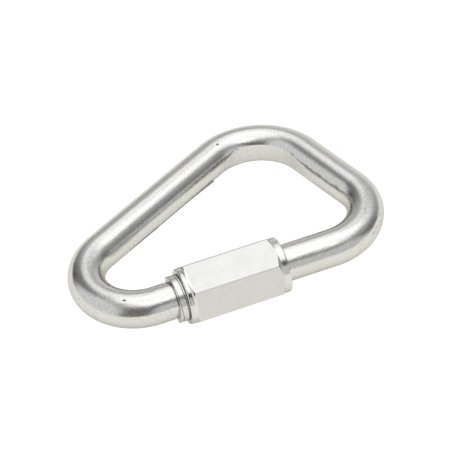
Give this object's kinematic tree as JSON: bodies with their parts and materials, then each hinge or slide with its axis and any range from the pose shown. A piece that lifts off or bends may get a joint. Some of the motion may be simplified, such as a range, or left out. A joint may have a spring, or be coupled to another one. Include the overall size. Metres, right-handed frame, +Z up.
{
  "type": "chain quick link",
  "caption": "Triangular chain quick link: a bent round steel wire with a threaded gate, closed by a hexagonal sleeve nut that retreats along the wire to open it.",
  "frame": {"origin": "on the ground, under the middle of the link's box, with the link lying on its far bend and on the lowest corner of the nut", "axes": "+X along the sleeve nut's axis, from the narrow apex bend to the wide end; +Y from the nut's side to the far bend; +Z up"},
  "size_m": [0.0702, 0.0506, 0.0133],
  "materials": {
    "zinc_plated_wire": "bright zinc plate over drawn wire, glossy with fine lengthwise streaks",
    "zinc_plated_nut": "bright zinc plate over drawn hexagon bar, satin flats and turned ends"
  },
  "bodies": {
    "link": {"link_body": "zinc_plated_wire"},
    "nut": {"sleeve_nut": "zinc_plated_nut"}
  },
  "joints": [
    {"name": "nut_slide", "type": "slide", "parent": "link", "child": "nut", "axis": [1, 0, 0], "range_m": [0, 0.01375]}
  ]
}
